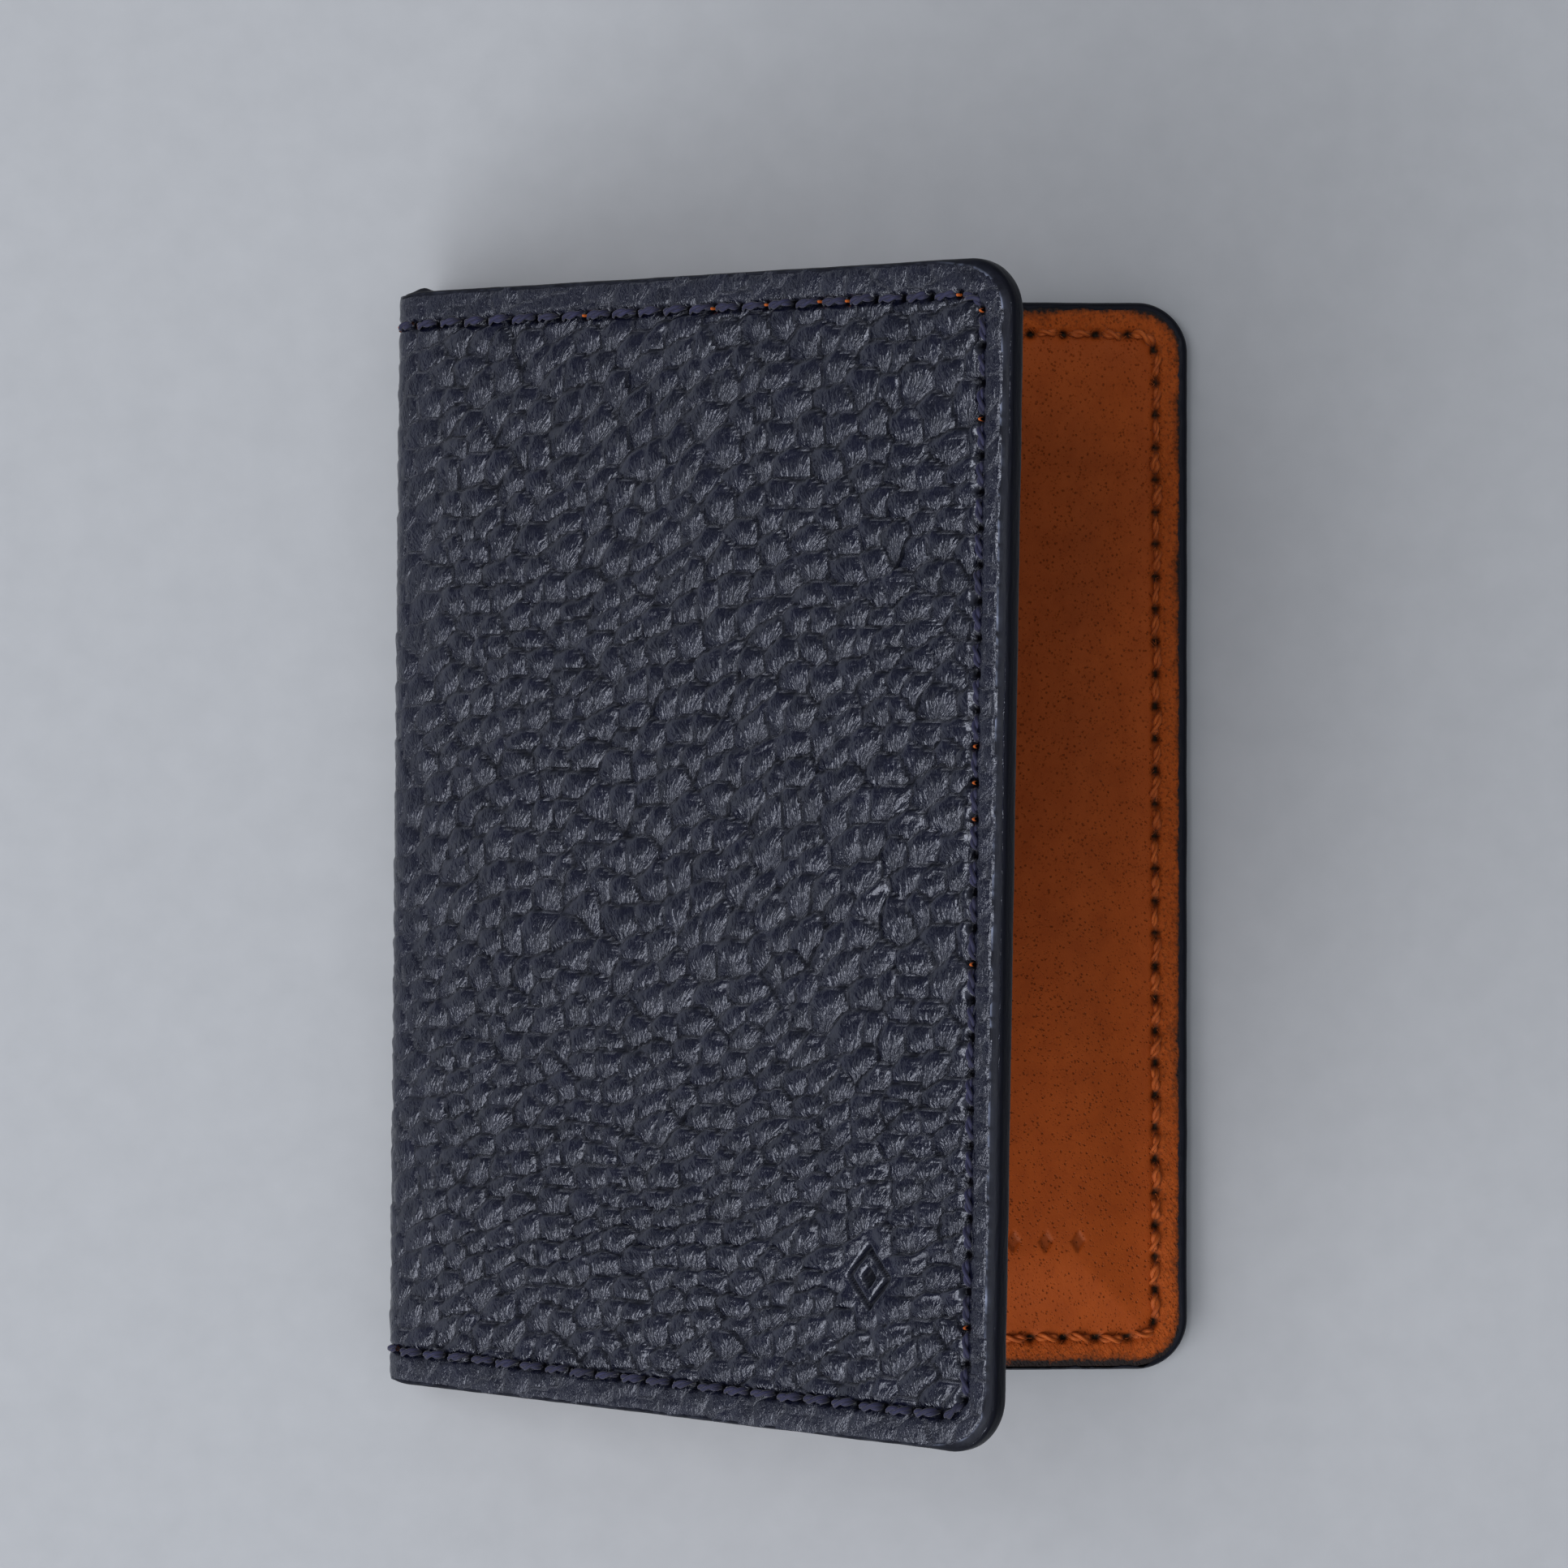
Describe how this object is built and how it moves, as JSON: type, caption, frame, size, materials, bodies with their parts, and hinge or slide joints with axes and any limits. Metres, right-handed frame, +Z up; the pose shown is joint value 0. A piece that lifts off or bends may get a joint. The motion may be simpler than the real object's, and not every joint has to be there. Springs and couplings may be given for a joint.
{
  "type": "card holder",
  "caption": "Vertical bifold leather card holder with stitched, painted edges and layered card pockets, hinged by its folding spine and resting half open.",
  "frame": {"origin": "middle of the back cover's outer face, on the resting plane", "axes": "+X from the spine towards the back cover's free edge, +Y up along the spine, +Z up from the resting plane"},
  "size_m": [0.0792, 0.1061, 0.0612],
  "materials": {
    "navy_leather": "pebbled grain, satin",
    "tan_lining": "smooth, thin",
    "tan_pocket": "smooth with fine pores",
    "board": "matt fibre board",
    "navy_thread": "waxed twisted thread",
    "tan_thread": "waxed twisted thread",
    "edge_paint": "satin edge paint"
  },
  "bodies": {
    "back_cover": {"back_cover_leather": "navy_leather", "back_stiffener": "board", "back_lining": "tan_lining", "back_wide_pocket": "tan_pocket", "back_narrow_pocket": "tan_pocket", "back_top_thread": "navy_thread", "back_bobbin_thread": "tan_thread", "back_painted_edge": "edge_paint"},
    "spine": {"spine_leather": "navy_leather", "spine_lining": "tan_lining", "spine_upper_top_thread": "navy_thread", "spine_upper_bobbin_thread": "tan_thread", "spine_upper_painted_edge": "edge_paint", "spine_lower_top_thread": "navy_thread", "spine_lower_bobbin_thread": "tan_thread", "spine_lower_painted_edge": "edge_paint"},
    "front_cover": {"front_cover_leather": "navy_leather", "front_stiffener": "board", "front_lining": "tan_lining", "front_wide_pocket": "tan_pocket", "front_narrow_pocket": "tan_pocket", "front_top_thread": "navy_thread", "front_bobbin_thread": "tan_thread", "front_painted_edge": "edge_paint"}
  },
  "joints": [
    {"name": "spine_fold", "type": "hinge", "parent": "back_cover", "child": "spine", "pos_m": [-0.0375, 0, 0.0005], "axis": [0.0091, 1, 0], "range_deg": [-68, 22], "stiffness_Nm_per_rad": 0.02, "springref_deg": -11.46},
    {"name": "cover_fold", "type": "hinge", "parent": "spine", "child": "front_cover", "pos_m": [-0.04072, -0.00005, 0.00847], "axis": [0.0091, 1, 0], "range_deg": [-68, 22], "stiffness_Nm_per_rad": 0.02, "springref_deg": -13.75}
  ],
  "couplings": [
    {"joint": "cover_fold", "follows": "spine_fold", "ratio": 1}
  ]
}
